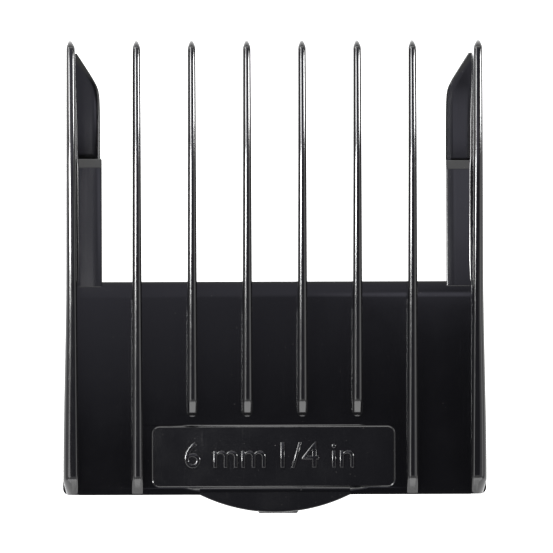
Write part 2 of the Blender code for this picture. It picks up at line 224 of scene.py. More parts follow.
# plastic: a noise has its scale per metre and its detail, a remap its source and target range
PLASTIC_IOR = 1.49
BLACK = (0.0015, 0.0015, 0.0018, 1.0)
DUST_COLOUR = (0.045, 0.043, 0.041, 1.0)
HANDLING_MARKS = (260.0, 3.0)
FINE_GRAIN = (5200.0, 2.0)
ORANGE_PEEL = (1100.0, 2.0)
DUST_SPECKS = (3600.0, 1.0)
SCRATCH_NOISE = (1.0, 1.0)
SCRATCH_ANGLE = 24              # degrees
SCRATCH_STRETCH = (9000.0, 260.0, 9000.0)
SCRATCH_LEVELS = ((0.66, 0.74), (0.0, 1.0))
MARK_ROUGHNESS = ((0.3, 0.7), (0.07, 0.12))
GRAIN_ROUGHNESS = ((0.35, 0.75), (0.0, 0.04))
SCRATCH_ROUGHNESS = 0.04
DUST_LEVELS = ((0.77, 0.83), (0.0, 0.6))
PEEL_BUMP = (0.18, 0.004 * MM)  # strength, distance
SCRATCH_BUMP = (0.08, 0.002 * MM)

# camera and light
CAMERA_HEIGHT = 1.2
CAMERA_SIDE = -0.026
CAMERA_ROLL = 0.0030            # radians
AIM = Vector((0.24 * MM, 0.055 * MM, 5.6 * MM))
VIEW_WIDTH = 62.45 * MM
SENSOR = 36.0
CAMERA_CLIP = (0.05, 20.0)
FLOOR_HALF = 6.0
FLOOR_DROP = 0.02 * MM
FLOOR_GREY = (0.15, 0.15, 0.15, 1.0)
FLOOR_GLOW = 1.60
WORLD_GREY = (0.9, 0.9, 0.9, 1.0)
CEILING_HEIGHT = 0.16
CEILING_SIZE = (0.16, 0.16)
CEILING_COLOUR = (0.97, 0.96, 1.16, 1.0)
CEILING_SIDE_FALL = (-8.0, 0.34)         # brightness over X: slope per metre, middle value
CEILING_STEEPNESS = (-450.0, 18.0)       # slope of the brightness over Y, itself over X
CEILING_FORWARD = (1.0, 0.0052)          # where that slope is centred
CEILING_RANGE = (0.06, 0.66)
PATCH_CENTRE = (0.024, 0.012, CEILING_HEIGHT)
PATCH_LEVELS = ((0.007, 0.0175), (0.90, 0.0))    # distance from its centre, added brightness
LIGHT_AIM = (0.0, 0.0, 5 * MM)
LIGHTS = (                               # name, place, size, radiance
    ("left_key", (-0.085, -0.0050, 0.147), (0.027, 0.11), 66.0),
    ("left_key_front", (-0.085, 0.026, 0.147), (0.036, 0.11), 30.0),
    ("left_front", (-0.085, 0.070, 0.140), (0.050, 0.11), 14.0),
    ("left_far_front", (-0.16, 0.160, 0.110), (0.120, 0.12), 12.0),
    ("left_rear", (-0.085, -0.062, 0.147), (0.080, 0.11), 3.2),
    ("right_softbox", (0.26, 0.040, 0.15), (0.045, 0.16), 48.0),
    ("right_rear_card", (0.28, -0.08, 0.17), (0.20, 0.12), 1.6),
    ("nose_card", (0.0, 0.40, 0.19), (0.6, 0.10), 4.0),
    ("front_card", (0.0, -0.45, 0.13), (0.7, 0.26), 3.2),
    ("back_card", (0.0, 0.40, 0.30), (0.6, 0.25), 1.0),
)
LIGHTS_OFF_PLATE = ("left_key", "left_key_front")


# ---- outlines -----------------------------------------------------------------------------
def rounded_path(corners, closed=False, steps=ARC_STEPS):
    """Points along straight runs between (a, b, radius) corners, with each corner rounded."""
    path = []
    count = len(corners)
    for index, (a, b, radius) in enumerate(corners):
        here = Vector((a, b))
        at_end = index in (0, count - 1) and not closed
        if radius <= 0 or at_end:
            path.append((a, b))
            continue
        before = (Vector(corners[index - 1][:2]) - here).normalized()
        after = (Vector(corners[(index + 1) % count][:2]) - here).normalized()
        half_angle = before.angle(after) / 2
        centre = here + (before + after).normalized() * radius / math.sin(half_angle)
        first = here + before * radius / math.tan(half_angle) - centre
        last = here + after * radius / math.tan(half_angle) - centre
        turn = math.atan2(first.x * last.y - first.y * last.x, first.dot(last))
        for step in range(steps + 1):
            angle = turn * step / steps
            ray = Matrix.Rotation(angle, 2) @ first
            path.append((centre.x + ray.x, centre.y + ray.y))
    return path


def rounded_rectangle(centre, size, corner, steps=ARC_STEPS):
    half_x, half_y = size[0] / 2, size[1] / 2
    signs = ((-1, -1), (1, -1), (1, 1), (-1, 1))
    corners = [(centre[0] + sx * half_x, centre[1] + sy * half_y, corner) for sx, sy in signs]
    return rounded_path(corners, closed=True, steps=steps)


def between(ends, share):
    return ends[0] + (ends[1] - ends[0]) * share


def smooth_share(value, start, end):
    """0 at start, 1 at end, with a soft run in and out."""
    share = max(0.0, min(1.0, (value - start) / (end - start)))
    return share * share * (3 - 2 * share)


def rear_share(y):
    return (TIP_Y - y) / (TIP_Y - REAR_Y)


# ---- pieces -------------------------------------------------------------------------------
def ring_mesh(name, rings, sharp=SMOOTH_ANGLE):
    """Closed solid lofted through rings of points, with flat ends."""
    shape = bmesh.new()
    loops = [[shape.verts.new(point) for point in ring] for ring in rings]
    count = len(loops[0])
    for near, far in zip(loops, loops[1:]):
        for i in range(count):
            j = (i + 1) % count
            shape.faces.new((near[i], near[j], far[j], far[i]))
    shape.faces.new(loops[0])
    shape.faces.new(loops[-1])
    bmesh.ops.recalc_face_normals(shape, faces=shape.faces)
    mesh = bpy.data.meshes.new(name)
    shape.to_mesh(mesh)
    shape.free()
    piece = bpy.data.objects.new(name, mesh)
    bpy.context.scene.collection.objects.link(piece)
    mesh.shade_smooth()
    mesh.set_sharp_from_angle(angle=math.radians(sharp))
    return piece


def mirrored_rings(rings, side):
    return [[(side * x, y, z) for x, y, z in ring] for ring in rings]


def round_rims(piece, width, segments=3):
    """Round the crisp edges that a loft's flat ends leave."""
    bevel = piece.modifiers.new("rims", "BEVEL")
    bevel.limit_method = "ANGLE"
    bevel.angle_limit = math.radians(RIM_ANGLE)
    bevel.width = width
    bevel.segments = segments
    bevel.use_clamp_overlap = True
    bevel.harden_normals = True


def even_normals(piece):
    """Keep flat faces flat where they meet narrow roundings."""
    normals = piece.modifiers.new("flat_faces", "WEIGHTED_NORMAL")
    normals.keep_sharp = True
    normals.weight = FLAT_WEIGHT


def place(piece, material, node, body="comb"):
    """The piece stands for a CAD node, moves with its body and takes the plastic's finish."""
    piece.data.materials.append(material)
    even_normals(piece)
    if body:
        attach(piece, body)
    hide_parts(node)
    piece.name = node + "_moulded"


# ---- teeth --------------------------------------------------------------------------------
def front_crest():
    """(y, z) points of the crest's gentle bend towards the tip."""
    controls = (CREST_FRONT, *CREST_CONTROLS, (TIP_Y - NOSE_RUN, CREST_END_Z))
    points = []
    for step in range(CREST_STEPS):
        t = step / CREST_STEPS
        weights = ((1 - t) ** 3, 3 * (1 - t) ** 2 * t, 3 * (1 - t) * t ** 2, t ** 3)
        points.append(tuple(sum(w * c[axis] for w, c in zip(weights, controls)) for axis in (0, 1)))
    return points


def nose():
    """(y, z) points down the blunt nose, a quarter of an ellipse."""
    points = []
    for step in range(NOSE_STEPS):
        angle = math.radians(NOSE_SWEEP) * step / (NOSE_STEPS - 1)
        y = TIP_Y - NOSE_RUN + NOSE_RUN * math.sin(angle)
        points.append((y, NOSE_Z + (CREST_END_Z - NOSE_Z) * math.cos(angle)))
    return points


def crest_z(y):
    share = (y - CREST_REAR[0]) / (CREST_FRONT[0] - CREST_REAR[0])
    return between((CREST_REAR[1], CREST_FRONT[1]), share)


def rear_end_profile(end_y, short):
    """Crest line from a tooth's rear end up its end slope, as (y, z) points."""
    if short:
        top_y = end_y + SHORT_END_RUN
        corners = [(end_y + along, PLATE_TOP + up, radius) for along, up, radius in SHORT_END]
    else:
        top_y = CREST_REAR[0]
        corners = [(REAR_Y + REAR_INSET, PLATE_TOP + up, radius) for up, radius in LONG_END]
    lead_y = top_y + CREST_LEAD
    corners += [(top_y, crest_z(top_y), END_ROUND), (lead_y, crest_z(lead_y), 0)]
    return rounded_path(corners, steps=END_STEPS)[1:]


def crest_line(end_y, short):
    """All (y, z) stations of a tooth's crest, from its rear end to its foremost point."""
    rear = rear_end_profile(end_y, short)
    start = rear[-1][0]
    run = CREST_FRONT[0] - start
    straight = [start + run * step / CREST_STATIONS for step in range(1, CREST_STATIONS)]
    straight += [PLATE_FRONT_Y - offset * MM for offset in FRONT_EDGE_STATIONS]
    points = rear + [(y, crest_z(y)) for y in sorted(straight)]
    return points + front_crest() + nose()


def plate_surface(y):
    """Height of the plate's top, with its rolled front edge."""
    run = 2 * FRONT_ROLL[0]
    into = max(0.0, y - (PLATE_FRONT_Y - run))
    return PLATE_TOP - FRONT_ROLL[1] * min(1.0, into / run) ** 2


def end_narrowing(y, end_y, short):
    """Share of the full width that a tooth has near its rounded ends."""
    to_tip = max(0.0, min(1.0, (TIP_Y - y) / NOSE_ROUND))
    share = between((NOSE_POINT, 1.0), to_tip ** NOSE_FULLNESS)
    if short:
        to_tail = max(0.0, min(1.0, (y - end_y) / TAIL_ROUND))
        share = min(share, max(TAIL_POINT, math.sqrt(1 - (1 - to_tail) ** 2)))
    return share


def underside(y):
    """Height of a tooth's underside, which curls up to the nose."""
    into = max(0.0, min(1.0, (y - (TIP_Y - CHIN)) / CHIN))
    return SEAT + (NOSE_Z - SEAT) * (1 - math.sqrt(max(0.0, 1 - into * into)))


def flank(offset_at, top, base, bottom, shoulder, fillet):
    """Side of a tooth's section from its root up to its crest, as (offset, z) points.

    The shoulder is a quarter of an ellipse, with its two half axes given.
    """
    points = [
        (offset_at(bottom) - FINE_EDGE, bottom),
        (offset_at(bottom) - FINE_EDGE * EDGE_MIDDLE, bottom + FINE_EDGE * EDGE_MIDDLE),
        (offset_at(bottom), bottom + FINE_EDGE),
    ]
    centre = (offset_at(base + fillet) + fillet, base + fillet)
    for step in range(ARC_STEPS + 1):
        angle = math.radians(-90 - 90 * step / ARC_STEPS)
        points.append((centre[0] + fillet * math.cos(angle), centre[1] + fillet * math.sin(angle)))
    across, down = shoulder
    centre = (offset_at(top - down) - across, top - down)
    for step in range(SHOULDER_STEPS + 1):
        angle = math.radians(90 * step / SHOULDER_STEPS)
        points.append((centre[0] + across * math.cos(angle), centre[1] + down * math.sin(angle)))
    return points


def shoulder_size(half, room):
    """Half axes of a crest's rounding that fit a tooth's half width and height there."""
    across, down = SHOULDER_FILL
    return min(SHOULDER[0], half * across), min(SHOULDER[1], room * down)


def tooth_rings(middle_x, end_y, short):
    """Rings of an inner tooth: drafted flanks, rounded crest, fillets where it meets the plate."""
    rings = []
    for y, top in crest_line(end_y, short):
        half = between(INNER_HALF, rear_share(y))
        base = plate_surface(y)
        rise = max(LEAST_RISE, top - base)
        height = top - underside(y)
        none_at, full_at = -PLATE_FRONT_Y - FILLET_FADE[0], -PLATE_FRONT_Y + FILLET_FADE[1]
        on_plate = smooth_share(-y, none_at, full_at)
        fillet = max(LEAST_FILLET, min(FOOT_FILLET * on_plate, rise * FILLET_FILL))
        shoulder = shoulder_size(half - FLANK_DRAFT * height, rise if y < PLATE_FRONT_Y else height)
        root = PLATE_TOP - ROOT_DEPTH if y < PLATE_FRONT_Y - EMBED else underside(y)
        side = flank(
            lambda z: half - FLANK_DRAFT * (z - SEAT), top, min(base, top - FOOT_DROP * height),
            root, shoulder, fillet,
        )
        narrow = end_narrowing(y, end_y, short)
        right = [(middle_x + offset * narrow, y, z) for offset, z in side]
        left = [(middle_x - offset * narrow, y, z) for offset, z in reversed(side)]
        rings.append(right + left)
    return rings


def corner_inset(y):
    """How far the outer face steps in as it rounds the comb's rear corner."""
    distance = y - REAR_Y
    if distance >= WALL_CORNER:
        return 0.0
    part = 1 - max(0.0, distance) / WALL_CORNER
    return WALL_CORNER * (1 - math.sqrt(1 - part * part))


def outer_face(y, z):
    """Distance of the comb's outer side from the outer tooth's middle plane."""
    share = rear_share(y)
    flare = WALL_FLARE * smooth_share(share, *FLARE_SHARES)
    return between(WALL_OUTSIDE, share) + flare - FLANK_DRAFT * z - corner_inset(y)


def inner_face(y, z):
    return between(WALL_INSIDE, rear_share(y)) - FLANK_DRAFT * (z - SEAT)


def outer_fillet(y):
    """Fillet at an outer tooth's foot: fine on the plate, full on the ledge, smaller on the ear."""
    on_ledge = smooth_share(y, PLATE_FRONT_Y - FILLET_CHANGE, PLATE_FRONT_Y + FILLET_CHANGE)
    on_ear = smooth_share(y, LEDGE_HIGH.y - FILLET_CHANGE, LEDGE_HIGH.y)
    fillet = between((between((FOOT_FILLET, LEDGE_FILLET), on_ledge), EAR_FILLET), on_ear)
    return max(LEAST_FILLET, fillet * (1 - smooth_share(y, *EAR_FILLET_FADE_Y)))


def outer_tooth_rings():
    """Rings of the right outer tooth, whose outer side runs on down as the side wall."""
    rings = []
    for y, top in crest_line(REAR_Y, short=False):
        base = plate_surface(min(y, PLATE_FRONT_Y - OUTER_ROLL_END))
        bottom = underside(y)
        height = top - bottom
        rise = max(LEAST_RISE, top - base)
        inner_down = OUTER_INNER_FILL[0] * max(rise, OUTER_INNER_FILL[1] * height)
        inner = flank(
            lambda z: inner_face(y, z), top, min(base, top - FOOT_DROP * height), bottom,
            (OUTER_INNER_SHOULDER, min(SHOULDER[1], inner_down)), outer_fillet(y),
        )
        across = between(OUTER_SHOULDER, rear_share(y))
        down = max(across, SHOULDER[1])
        outer = flank(
            lambda z: outer_face(y, z), top, bottom + OUTER_FOOT * height, bottom,
            (min(across, OUTER_FILL[0] * height), min(down, OUTER_FILL[1] * height)),
            OUTER_FOOT_FILLET,
        )
        edge = outer_face(y, bottom)
        outer[:3] = [(edge - FINE_EDGE, bottom), (edge, bottom), (edge, bottom)]
        narrow = end_narrowing(y, REAR_Y, short=False)
        right = [(OUTER_TOOTH_X + offset * narrow, y, z) for offset, z in outer]
        left = [(OUTER_TOOTH_X - offset * narrow, y, z) for offset, z in reversed(inner)]
        rings.append(right + left)
    return rings


def make_teeth(material):
    for number in INNER_TEETH:
        low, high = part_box(f"tooth_{number}")
        short = low.y > REAR_Y + LONG_TOOTH_REACH
        end_y = low.y if short else REAR_Y
        rings = tooth_rings((low.x + high.x) / 2, end_y, short)
        place(ring_mesh(f"inner_tooth_{number}", rings), material, f"tooth_{number}")
    for number, side in OUTER_TEETH:
        rings = mirrored_rings(outer_tooth_rings(), side)
        place(ring_mesh(f"outer_tooth_{number}", rings), material, f"tooth_{number}")


# ---- plate --------------------------------------------------------------------------------
def plate_section(rear_y, fall):
    """Outline of the plate in (y, z): rolled front edge, slightly falling rear edge."""
    label_front = LABEL_CENTRE[1] + LABEL_SIZE[1] / 2 + LABEL_WALL
    return rounded_path(
        [
            (PLATE_FRONT_Y, SEAT, FINE_EDGE),
            (PLATE_FRONT_Y, PLATE_TOP - FRONT_ROLL[1], FINE_EDGE),
            (PLATE_FRONT_Y - FRONT_ROLL[0], PLATE_TOP, FRONT_ROLL_RADIUS),
            (PLATE_FRONT_Y - FLAT_FRONT, PLATE_TOP, 0),
            (label_front, PLATE_TOP, 0),
            (rear_y + REAR_ROLL[0], PLATE_TOP, REAR_ROLL_RADIUS),
            (rear_y, PLATE_TOP - REAR_ROLL[1] * fall, FINE_EDGE * fall + HAIR),
            (rear_y, SEAT, HAIR),
        ],
        closed=True,
        steps=ROLL_STEPS,
    )


def plate_stations():
    """(x, rear edge's y, share of its fall) from the middle of the plate to its right side."""
    notch_x = TAB_HIGH.x
    hinge_front = HINGE_Y + HINGE_OVERLAP
    hidden_x = OUTER_TOOTH_X - WALL_INSIDE[1]
    side_x = PLATE_HIGH.x + 2 * EMBED
    tab_fall, full_fall = REAR_FALLS[0][1], REAR_FALLS[-1][1]
    return [
        (0.0, hinge_front, tab_fall),
        (notch_x - HAIR, hinge_front, tab_fall),
        *[(notch_x + beside, REAR_Y, fall) for beside, fall in REAR_FALLS],
        (hidden_x - REAR_INSET, REAR_Y, full_fall),
        (hidden_x, REAR_Y + REAR_INSET, full_fall),
        (side_x, REAR_Y + REAR_INSET, full_fall),
    ]


def label_cutter():
    """Shape of the recess: a floor with rounded corners and slanting walls."""
    levels = (
        (-(LABEL_RECESS + LABEL_CUT), 0.0),
        (-LABEL_RECESS, 0.0),
        (0.0, LABEL_WALL),
        (LABEL_RECESS, 2 * LABEL_WALL),
    )
    rings = []
    for height, spread in levels:
        size = [length - LABEL_WALL + 2 * spread for length in LABEL_SIZE]
        outline = rounded_rectangle(LABEL_CENTRE, size, LABEL_CORNER - LABEL_WALL / 2 + spread)
        rings.append([(x, y, PLATE_TOP + height) for x, y in outline])
    cutter = ring_mesh("label_cutter", rings)
    cutter.hide_render = True
    cutter.hide_viewport = True
    return cutter


def make_plate(material):
    right = plate_stations()
    stations = [(-x, y, r) for x, y, r in reversed(right[1:])] + right
    rings = []
    for x, rear_y, fall in stations:
        rings.append([(x, y, z) for y, z in plate_section(rear_y, fall)])
    plate = ring_mesh("plate", rings)
    recess = plate.modifiers.new("label_recess", "BOOLEAN")
    recess.operation = "DIFFERENCE"
    recess.solver = "EXACT"
    recess.object = label_cutter()
    round_rims(plate, PLATE_RIM, segments=2)
    place(plate, material, "comb_plate")
    return plate


# ---- label --------------------------------------------------------------------------------
def letter_mesh(text, x, floor):
    """Raised letters with rounded edges, as a mesh in place on the label's floor."""
    curve = bpy.data.curves.new("letters", "FONT")
    curve.body = text
    curve.size = TEXT_SIZE
    curve.align_x = "CENTER"
    curve.align_y = "CENTER"
    curve.resolution_u = TEXT_CURVE_STEPS
    curve.offset = -TEXT_EDGE * TEXT_THINNING
    curve.extrude = TEXT_RISE - TEXT_EDGE
    curve.bevel_depth = TEXT_EDGE
    curve.bevel_resolution = TEXT_EDGE_STEPS
    guide = bpy.data.objects.new("letters", curve)
    guide.location = (x, LABEL_CENTRE[1], floor)
    bpy.context.scene.collection.objects.link(guide)
    bpy.context.view_layer.update()
    evaluated = guide.evaluated_get(bpy.context.evaluated_depsgraph_get())
    mesh = bpy.data.meshes.new_from_object(evaluated)
    mesh.transform(guide.matrix_world)
    bpy.data.objects.remove(guide, do_unlink=True)
    return mesh


def make_label(material):
    floor = PLATE_TOP - LABEL_RECESS
    outline = rounded_rectangle(LABEL_CENTRE, LABEL_SIZE, LABEL_CORNER)
    rings = [[(x, y, z) for x, y in outline] for z in (LABEL_LOW.z, floor)]
    label = ring_mesh("label", rings)
    shape = bmesh.new()
    shape.from_mesh(label.data)
    for text, x in LABEL_TEXTS:
        letters = letter_mesh(text, x, floor)
        shape.from_mesh(letters)
        bpy.data.meshes.remove(letters)
    bmesh.ops.remove_doubles(shape, verts=shape.verts, dist=WELD)
    shape.to_mesh(label.data)
    shape.free()
    label.data.materials.clear()
    label.data.shade_smooth()
    label.data.set_sharp_from_angle(angle=math.radians(WIDE_SMOOTH_ANGLE))
    place(label, material, "size_label")


# ---- ledges, ears, walls ------------------------------------------------------------------
def crown(distance):
    """How far a top face has fallen at a distance from its inner edge."""
    into = max(0.0, 1 - distance / CROWN[0])
    return CROWN[1] * into * into


def crowned_stations(inner_x, outer_x):
    steps = range(CROWN_STEPS + 1)
    return [inner_x + CROWN[0] * step / CROWN_STEPS for step in steps] + [outer_x]


def make_ledge(side_name, side, material):
    """Side ledge: flat top with a chamfered front end and a soft inner edge."""
    front_y = LEDGE_HIGH.y - LEDGE_TRIM[side_name]
    profile = rounded_path(
        [
            (PLATE_FRONT_Y - 2 * EMBED, SEAT, 0),
            (front_y, SEAT, FINE_EDGE),
            (front_y, PLATE_TOP - LEDGE_CHAMFER[1], FINE_EDGE),
            (front_y - LEDGE_CHAMFER[0], PLATE_TOP, SOFT_EDGE),
            (PLATE_FRONT_Y - 2 * EMBED, PLATE_TOP, 0),
        ],
        closed=True,
    )
    rings = []
    for x in crowned_stations(LEDGE_LOW.x, OUTER_TOOTH_X - WALL_INSIDE[0] + EMBED):
        fall = crown(x - LEDGE_LOW.x)
        rings.append([(side * x, y, z - fall if z > SEAT + TOP_FROM else z) for y, z in profile])
    ledge = ring_mesh("ledge", rings)
    round_rims(ledge, FINE_EDGE)
    place(ledge, material, "side_ledge_" + side_name)


def ear_inner_x(y):
    """Inner edge of a corner ear: straight, then slanting out to the wall at its front."""
    slant = (EAR_HIGH.x - EAR_LOW.x) / (EAR_HIGH.y - EAR_SLANT_Y)
    outward = (y - EAR_SLANT_Y) * slant
    bend = math.sqrt(outward * outward + EAR_SLANT_SOFT * EAR_SLANT_SOFT)
    return EAR_LOW.x + (outward + bend - EAR_SLANT_SHIFT) / 2


def make_ear(side_name, side, material):
    """Corner ear: a thin blade that falls away a little towards its front."""
    outer_x = OUTER_TOOTH_X - WALL_INSIDE[0] + EMBED
    start = LEDGE_HIGH.y - EAR_START
    end = EAR_END_Y
    rings = []
    for step in range(EAR_STEPS + 1):
        y = start + (end - start) * step / EAR_STEPS
        past_crest = (y - start) / (end - start) - EAR_CREST
        fall = past_crest ** 2 * (EAR_REAR_FALL[side_name] if past_crest < 0 else EAR_FRONT_FALL)
        top = EAR_HIGH.z - fall
        edge = min(EAR_EDGE, EAR_EDGE_FILL * top)
        inner_x = min(ear_inner_x(y), outer_x - EAR_LEAST_WIDTH[0])
        flat_x = min(inner_x + EAR_EDGE_RUN, outer_x - EAR_LEAST_WIDTH[1])
        outline = rounded_path(
            [
                (inner_x, 0.0, FINE_EDGE),
                (outer_x, 0.0, 0),
                (outer_x, top, 0),
                (flat_x, top, EAR_EDGE_RADIUS),
                (inner_x, top - EAR_EDGE_DROP, edge),
            ],
            closed=True,
        )
        rings.append([(side * x, y, z) for x, z in outline])
    ear = ring_mesh("ear", rings)
    round_rims(ear, FINE_EDGE)
    place(ear, material, "corner_ear_" + side_name)


def wall_stations():
    """Y of a side wall's rings, close together round its rear corner and its front end."""
    nose_y = WALL_HIGH.y - WALL_NOSE
    corner = []
    for angle in WALL_CORNER_ANGLES:
        corner.append(REAR_Y + WALL_CORNER * (1 - math.cos(math.radians(angle))))
    run = nose_y - corner[-1]
    middle = [corner[-1] + run * step / WALL_STEPS for step in range(1, WALL_STEPS + 1)]
    nose_end = []
    for angle in WALL_NOSE_ANGLES:
        nose_end.append(WALL_HIGH.y - WALL_NOSE * (1 - math.sin(math.radians(angle))))
    return corner + middle + nose_end


def make_side_wall(side_name, side, material):
    """Side wall under the outer tooth, whose outer face it carries on down to the rim."""
    middle = SOFT_EDGE * EDGE_MIDDLE
    rings = []
    for y in wall_stations():
        into = max(0.0, y - (WALL_HIGH.y - WALL_NOSE)) / WALL_NOSE
        narrow = max(WALL_NOSE_POINT, math.sqrt(max(0.0, 1 - into * into)))
        low_out, low_in = outer_face(y, 0.0), inner_face(y, SEAT)
        outline = [(low_out - SOFT_EDGE, 0.0), (low_out - middle, middle), (low_out, SOFT_EDGE)]
        outline += [(outer_face(y, SEAT * share), SEAT * share) for share in WALL_LEVELS]
        outline += [(-low_in, SEAT), (-low_in, SEAT / 2), (-low_in, SOFT_EDGE)]
        outline += [(-low_in + middle, middle), (-low_in + SOFT_EDGE, 0.0)]
        rings.append([(side * (OUTER_TOOTH_X + offset * narrow), y, z) for offset, z in outline])
    place(ring_mesh("wall", rings), material, "side_wall_" + side_name)


def make_rear_wall(side_name, side, material):
    """Rear wall between the latch slot and the side wall, thinner towards its rim."""
    inner_y = REAR_WALL_HIGH.y
    profile = rounded_path(
        [
            (REAR_Y, 0.0, SOFT_EDGE),
            (REAR_Y, SEAT, 0),
            (inner_y + REAR_WALL_TAPER[0], SEAT, 0),
            (inner_y - REAR_WALL_TAPER[1], 0.0, SOFT_EDGE),
        ],
        closed=True,
    )
    hidden_x = OUTER_TOOTH_X - WALL_INSIDE[1]
    stations = (
        (REAR_WALL_LOW.x, 0.0),
        (hidden_x - REAR_INSET, 0.0),
        (hidden_x, REAR_INSET),
        (hidden_x + EMBED, REAR_INSET),
    )
    rings = [[(side * x, y + inset, z) for y, z in profile] for x, inset in stations]
    wall = ring_mesh("rear_wall", rings)
    round_rims(wall, SOFT_EDGE)
    place(wall, material, "rear_wall_" + side_name)


# ---- latch --------------------------------------------------------------------------------
def tab_edge_y(x):
    """Rear edge of the latch tab, an arc over its chord."""
    half = TAB_HIGH.x
    sagitta = REAR_Y - TAB_LOW.y
    radius = (half * half + sagitta * sagitta) / (2 * sagitta)
    return TAB_LOW.y + radius - math.sqrt(radius * radius - x * x)


def tab_section(x):
    """Outline of the tab in (y, z), thinned by the hinge groove in its underside."""
    front = HINGE_Y + HINGE_OVERLAP
    edge = tab_edge_y(x)
    length = front - edge
    groove = min(HINGE_GROOVE[0], GROOVE_FILL * length)
    depth = HINGE_GROOVE[1] * min(1.0, length / MM)
    edge_round = min(TAB_EDGE, TAB_EDGE_FILL * length)
    top = [(front - length * share, PLATE_TOP) for share in TAB_ROWS]
    corners = [
        (front, PLATE_TOP, 0),
        (edge, PLATE_TOP, edge_round),
        (edge, SEAT, edge_round),
        (front, SEAT, 0),
    ]
    bottom = []
    for step in range(GROOVE_STEPS + 1):
        angle = math.pi * step / GROOVE_STEPS
        shift = GROOVE_SHIFT * (1 - step / (GROOVE_STEPS / 2))
        y = front - groove / 2 - groove / 2 * math.cos(math.pi - angle) - shift
        bottom.append((y, SEAT + depth * math.sin(angle)))
    return top + rounded_path(corners)[1:-1] + bottom + [(front, SEAT)]


def make_tab(material):
    half = TAB_HIGH.x
    stations = [half * math.sin(math.radians(angle)) for angle in TAB_ANGLES]
    rings = [[(x, y, z) for y, z in tab_section(x)] for x in stations]
    tab = ring_mesh("tab", rings, sharp=WIDE_SMOOTH_ANGLE)
    place(tab, material, "latch_tab", body=None)
    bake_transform(tab)


def make_tongue(material):
    """Latch tongue: hangs from the tab, with a rounded foot."""
    profile = rounded_path(
        [
            (TONGUE_LOW.y, TONGUE_LOW.z, SOFT_EDGE),
            (TONGUE_LOW.y, SEAT + TONGUE_EMBED, 0),
            (TONGUE_HIGH.y, SEAT + TONGUE_EMBED, 0),
            (TONGUE_HIGH.y, TONGUE_LOW.z, SOFT_EDGE),
        ],
        closed=True,
    )
    rings = [[(x, y, z) for y, z in profile] for x in (TONGUE_LOW.x, TONGUE_HIGH.x)]
    tongue = ring_mesh("tongue", rings)
    round_rims(tongue, SOFT_EDGE)
    place(tongue, material, "latch_tongue", "latch")


def make_hook(material):
    """Latch hook: a wedge that grips under the clipper's blade."""
    low, high = HOOK_LOW, HOOK_HIGH
    back = low.y - EMBED
    profile = rounded_path(
        [
            (back, low.z, 0),
            (high.y, high.z - HOOK_NOSE, FINE_EDGE),
            (high.y, high.z, FINE_EDGE),
            (back, high.z + HOOK_ROOT_RISE, 0),
        ],
        closed=True,
    )
    rings = [[(x, y, z) for y, z in profile] for x in (low.x, high.x)]
    hook = ring_mesh("hook", rings)
    round_rims(hook, FINE_EDGE)
    place(hook, material, "latch_hook", "latch")


def make_lip(material):
    """Thumb lip: a low rounded bar across the back of the tongue."""
    low, high = LIP_LOW, LIP_HIGH
    profile = rounded_path(
        [
            (low.y, low.z, LIP_ROUND),
            (low.y, high.z, LIP_ROUND),
            (TONGUE_LOW.y + LIP_EMBED, SEAT, 0),
            (TONGUE_LOW.y + LIP_EMBED, low.z - LIP_ROOT_DROP, 0),
        ],
        closed=True,
    )
    rings = [[(x, y, z) for y, z in profile] for x in (low.x, high.x)]
    lip = ring_mesh("lip", rings)
    round_rims(lip, SOFT_EDGE, segments=4)
    place(lip, material, "thumb_lip", "latch")


# ---- material -----------------------------------------------------------------------------
def noise(nodes, links, coordinates, scale_and_detail, label):
    texture = nodes.new("ShaderNodeTexNoise")
    texture.label = label
    texture.inputs["Scale"].default_value = scale_and_detail[0]
    texture.inputs["Detail"].default_value = scale_and_detail[1]
    links.new(coordinates, texture.inputs["Vector"])
    return texture


def to_range(nodes, links, value, ranges):
    """Maps a factor from one range to another, held at its ends."""
    source, target = ranges
    remap = nodes.new("ShaderNodeMapRange")
    remap.inputs["From Min"].default_value = source[0]
    remap.inputs["From Max"].default_value = source[1]
    remap.inputs["To Min"].default_value = target[0]
    remap.inputs["To Max"].default_value = target[1]
    links.new(value, remap.inputs["Value"])
    return remap.outputs["Result"]


def multiply_add(nodes, links, value, factor_and_addend):
    step = nodes.new("ShaderNodeMath")
    step.operation = "MULTIPLY_ADD"
    step.inputs[1].default_value = factor_and_addend[0]
    step.inputs[2].default_value = factor_and_addend[1]
    links.new(value, step.inputs[0])
    return step.outputs[0]


